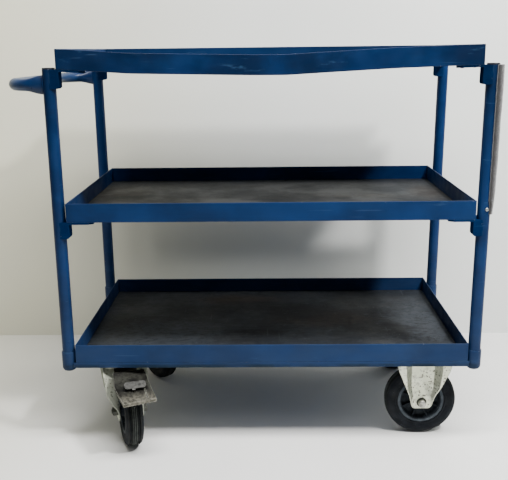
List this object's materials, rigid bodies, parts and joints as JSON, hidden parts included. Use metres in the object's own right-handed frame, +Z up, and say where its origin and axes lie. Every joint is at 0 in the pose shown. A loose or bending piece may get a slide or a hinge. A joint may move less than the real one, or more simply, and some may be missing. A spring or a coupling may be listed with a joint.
{
  "type": "tiered tray trolley",
  "caption": "Tubular steel service trolley with stacked folded sheet trays, a push handle at one end, fixed castors at the other and braked swivel castors under the handle.",
  "frame": {"origin": "on the floor, under the middle of the overall bounding box at rest, with the wheels standing on z = 0", "axes": "+X along the trolley, away from the push handle; +Y from the front long side to the rear long side; +Z up"},
  "size_m": [1.0128, 0.596, 0.862],
  "materials": {
    "blue_paint": "dark blue stove enamel, satin, chipped on the edges",
    "tray_mat": "dark brown-grey, worn and stained",
    "black_plastic": "black, moulded",
    "zinc_plate": "dull zinc plate, grey with a green cast, dark specks",
    "bright_steel": "plain bright steel",
    "chrome": "bright, scratched",
    "rim_plastic": "dark grey, moulded",
    "tyre_rubber": "black solid rubber, fine ribs round the tread",
    "grey_felt": "grey needle felt, fuzzy"
  },
  "bodies": {
    "frame": {"post_front_left": "blue_paint", "post_cap_front_left": "black_plastic", "foot_sleeve_front_left": "blue_paint", "bracket_middle_front_left": "blue_paint", "bracket_top_front_left": "blue_paint", "post_front_right": "blue_paint", "post_cap_front_right": "black_plastic", "foot_sleeve_front_right": "blue_paint", "bracket_middle_front_right": "blue_paint", "bracket_top_front_right": "blue_paint", "post_rear_left": "blue_paint", "post_cap_rear_left": "black_plastic", "foot_sleeve_rear_left": "blue_paint", "bracket_middle_rear_left": "blue_paint", "bracket_top_rear_left": "blue_paint", "post_rear_right": "blue_paint", "post_cap_rear_right": "black_plastic", "foot_sleeve_rear_right": "blue_paint", "bracket_middle_rear_right": "blue_paint", "bracket_top_rear_right": "blue_paint", "base_rail_front": "blue_paint", "base_rail_rear": "blue_paint", "base_rail_left": "blue_paint", "base_rail_right": "blue_paint", "push_handle": "blue_paint", "tray_bottom": "blue_paint", "tray_liner_bottom": "tray_mat", "tray_middle": "blue_paint", "tray_liner_middle": "tray_mat", "tray_top": "blue_paint", "tray_liner_top": "tray_mat", "felt_strip": "grey_felt", "felt_screw": "bright_steel", "fork_front_right": "zinc_plate", "axle_front_right": "bright_steel", "fork_rear_right": "zinc_plate", "axle_rear_right": "bright_steel", "top_plate_front_left": "zinc_plate", "ball_race_front_left": "zinc_plate", "king_bolt_front_left": "bright_steel", "top_plate_rear_left": "zinc_plate", "ball_race_rear_left": "zinc_plate", "king_bolt_rear_left": "bright_steel"},
    "caster_fork_front_left": {"fork_front_left": "zinc_plate", "axle_front_left": "bright_steel"},
    "brake_pedal_front_left": {"brake_pedal_front_left": "zinc_plate"},
    "release_tab_front_left": {"release_tab_front_left": "chrome"},
    "caster_fork_rear_left": {"fork_rear_left": "zinc_plate", "axle_rear_left": "bright_steel"},
    "brake_pedal_rear_left": {"brake_pedal_rear_left": "zinc_plate"},
    "release_tab_rear_left": {"release_tab_rear_left": "chrome"},
    "wheel_front_left": {"rim_front_left": "rim_plastic", "tyre_front_left": "tyre_rubber"},
    "wheel_front_right": {"rim_front_right": "rim_plastic", "tyre_front_right": "tyre_rubber"},
    "wheel_rear_left": {"rim_rear_left": "rim_plastic", "tyre_rear_left": "tyre_rubber"},
    "wheel_rear_right": {"rim_rear_right": "rim_plastic", "tyre_rear_right": "tyre_rubber"}
  },
  "joints": [
    {"name": "swivel_front_left", "type": "hinge", "parent": "frame", "child": "caster_fork_front_left", "pos_m": [-0.2954, -0.134, 0.18], "axis": [0, 0, 1], "continuous": true},
    {"name": "wheel_spin_front_left", "type": "hinge", "parent": "caster_fork_front_left", "child": "wheel_front_left", "pos_m": [-0.27748, -0.18916, 0.08], "axis": [0.9511, 0.309, 0], "continuous": true},
    {"name": "brake_pedal_front_left", "type": "hinge", "parent": "caster_fork_front_left", "child": "brake_pedal_front_left", "pos_m": [-0.27809, -0.18726, 0.13], "axis": [0.9511, 0.309, 0], "range_deg": [0, 8]},
    {"name": "release_tab_front_left", "type": "hinge", "parent": "brake_pedal_front_left", "child": "release_tab_front_left", "pos_m": [-0.26048, -0.24147, 0.1605], "axis": [0.9511, 0.309, 0], "range_deg": [0, 8], "stiffness_Nm_per_rad": 2},
    {"name": "swivel_rear_left", "type": "hinge", "parent": "frame", "child": "caster_fork_rear_left", "pos_m": [-0.2954, 0.226, 0.18], "axis": [0, 0, 1], "continuous": true},
    {"name": "wheel_spin_rear_left", "type": "hinge", "parent": "caster_fork_rear_left", "child": "wheel_rear_left", "pos_m": [-0.26213, 0.17849, 0.08], "axis": [0.8192, 0.5736, 0], "continuous": true},
    {"name": "brake_pedal_rear_left", "type": "hinge", "parent": "caster_fork_rear_left", "child": "brake_pedal_rear_left", "pos_m": [-0.26328, 0.18013, 0.13], "axis": [0.8192, 0.5736, 0], "range_deg": [0, 8]},
    {"name": "release_tab_rear_left", "type": "hinge", "parent": "brake_pedal_rear_left", "child": "release_tab_rear_left", "pos_m": [-0.23059, 0.13344, 0.1605], "axis": [0.8192, 0.5736, 0], "range_deg": [0, 8], "stiffness_Nm_per_rad": 2},
    {"name": "wheel_spin_front_right", "type": "hinge", "parent": "frame", "child": "wheel_front_right", "pos_m": [0.3761, -0.134, 0.08], "axis": [0, 1, 0], "continuous": true},
    {"name": "wheel_spin_rear_right", "type": "hinge", "parent": "frame", "child": "wheel_rear_right", "pos_m": [0.3761, 0.226, 0.08], "axis": [0, 1, 0], "continuous": true}
  ]
}
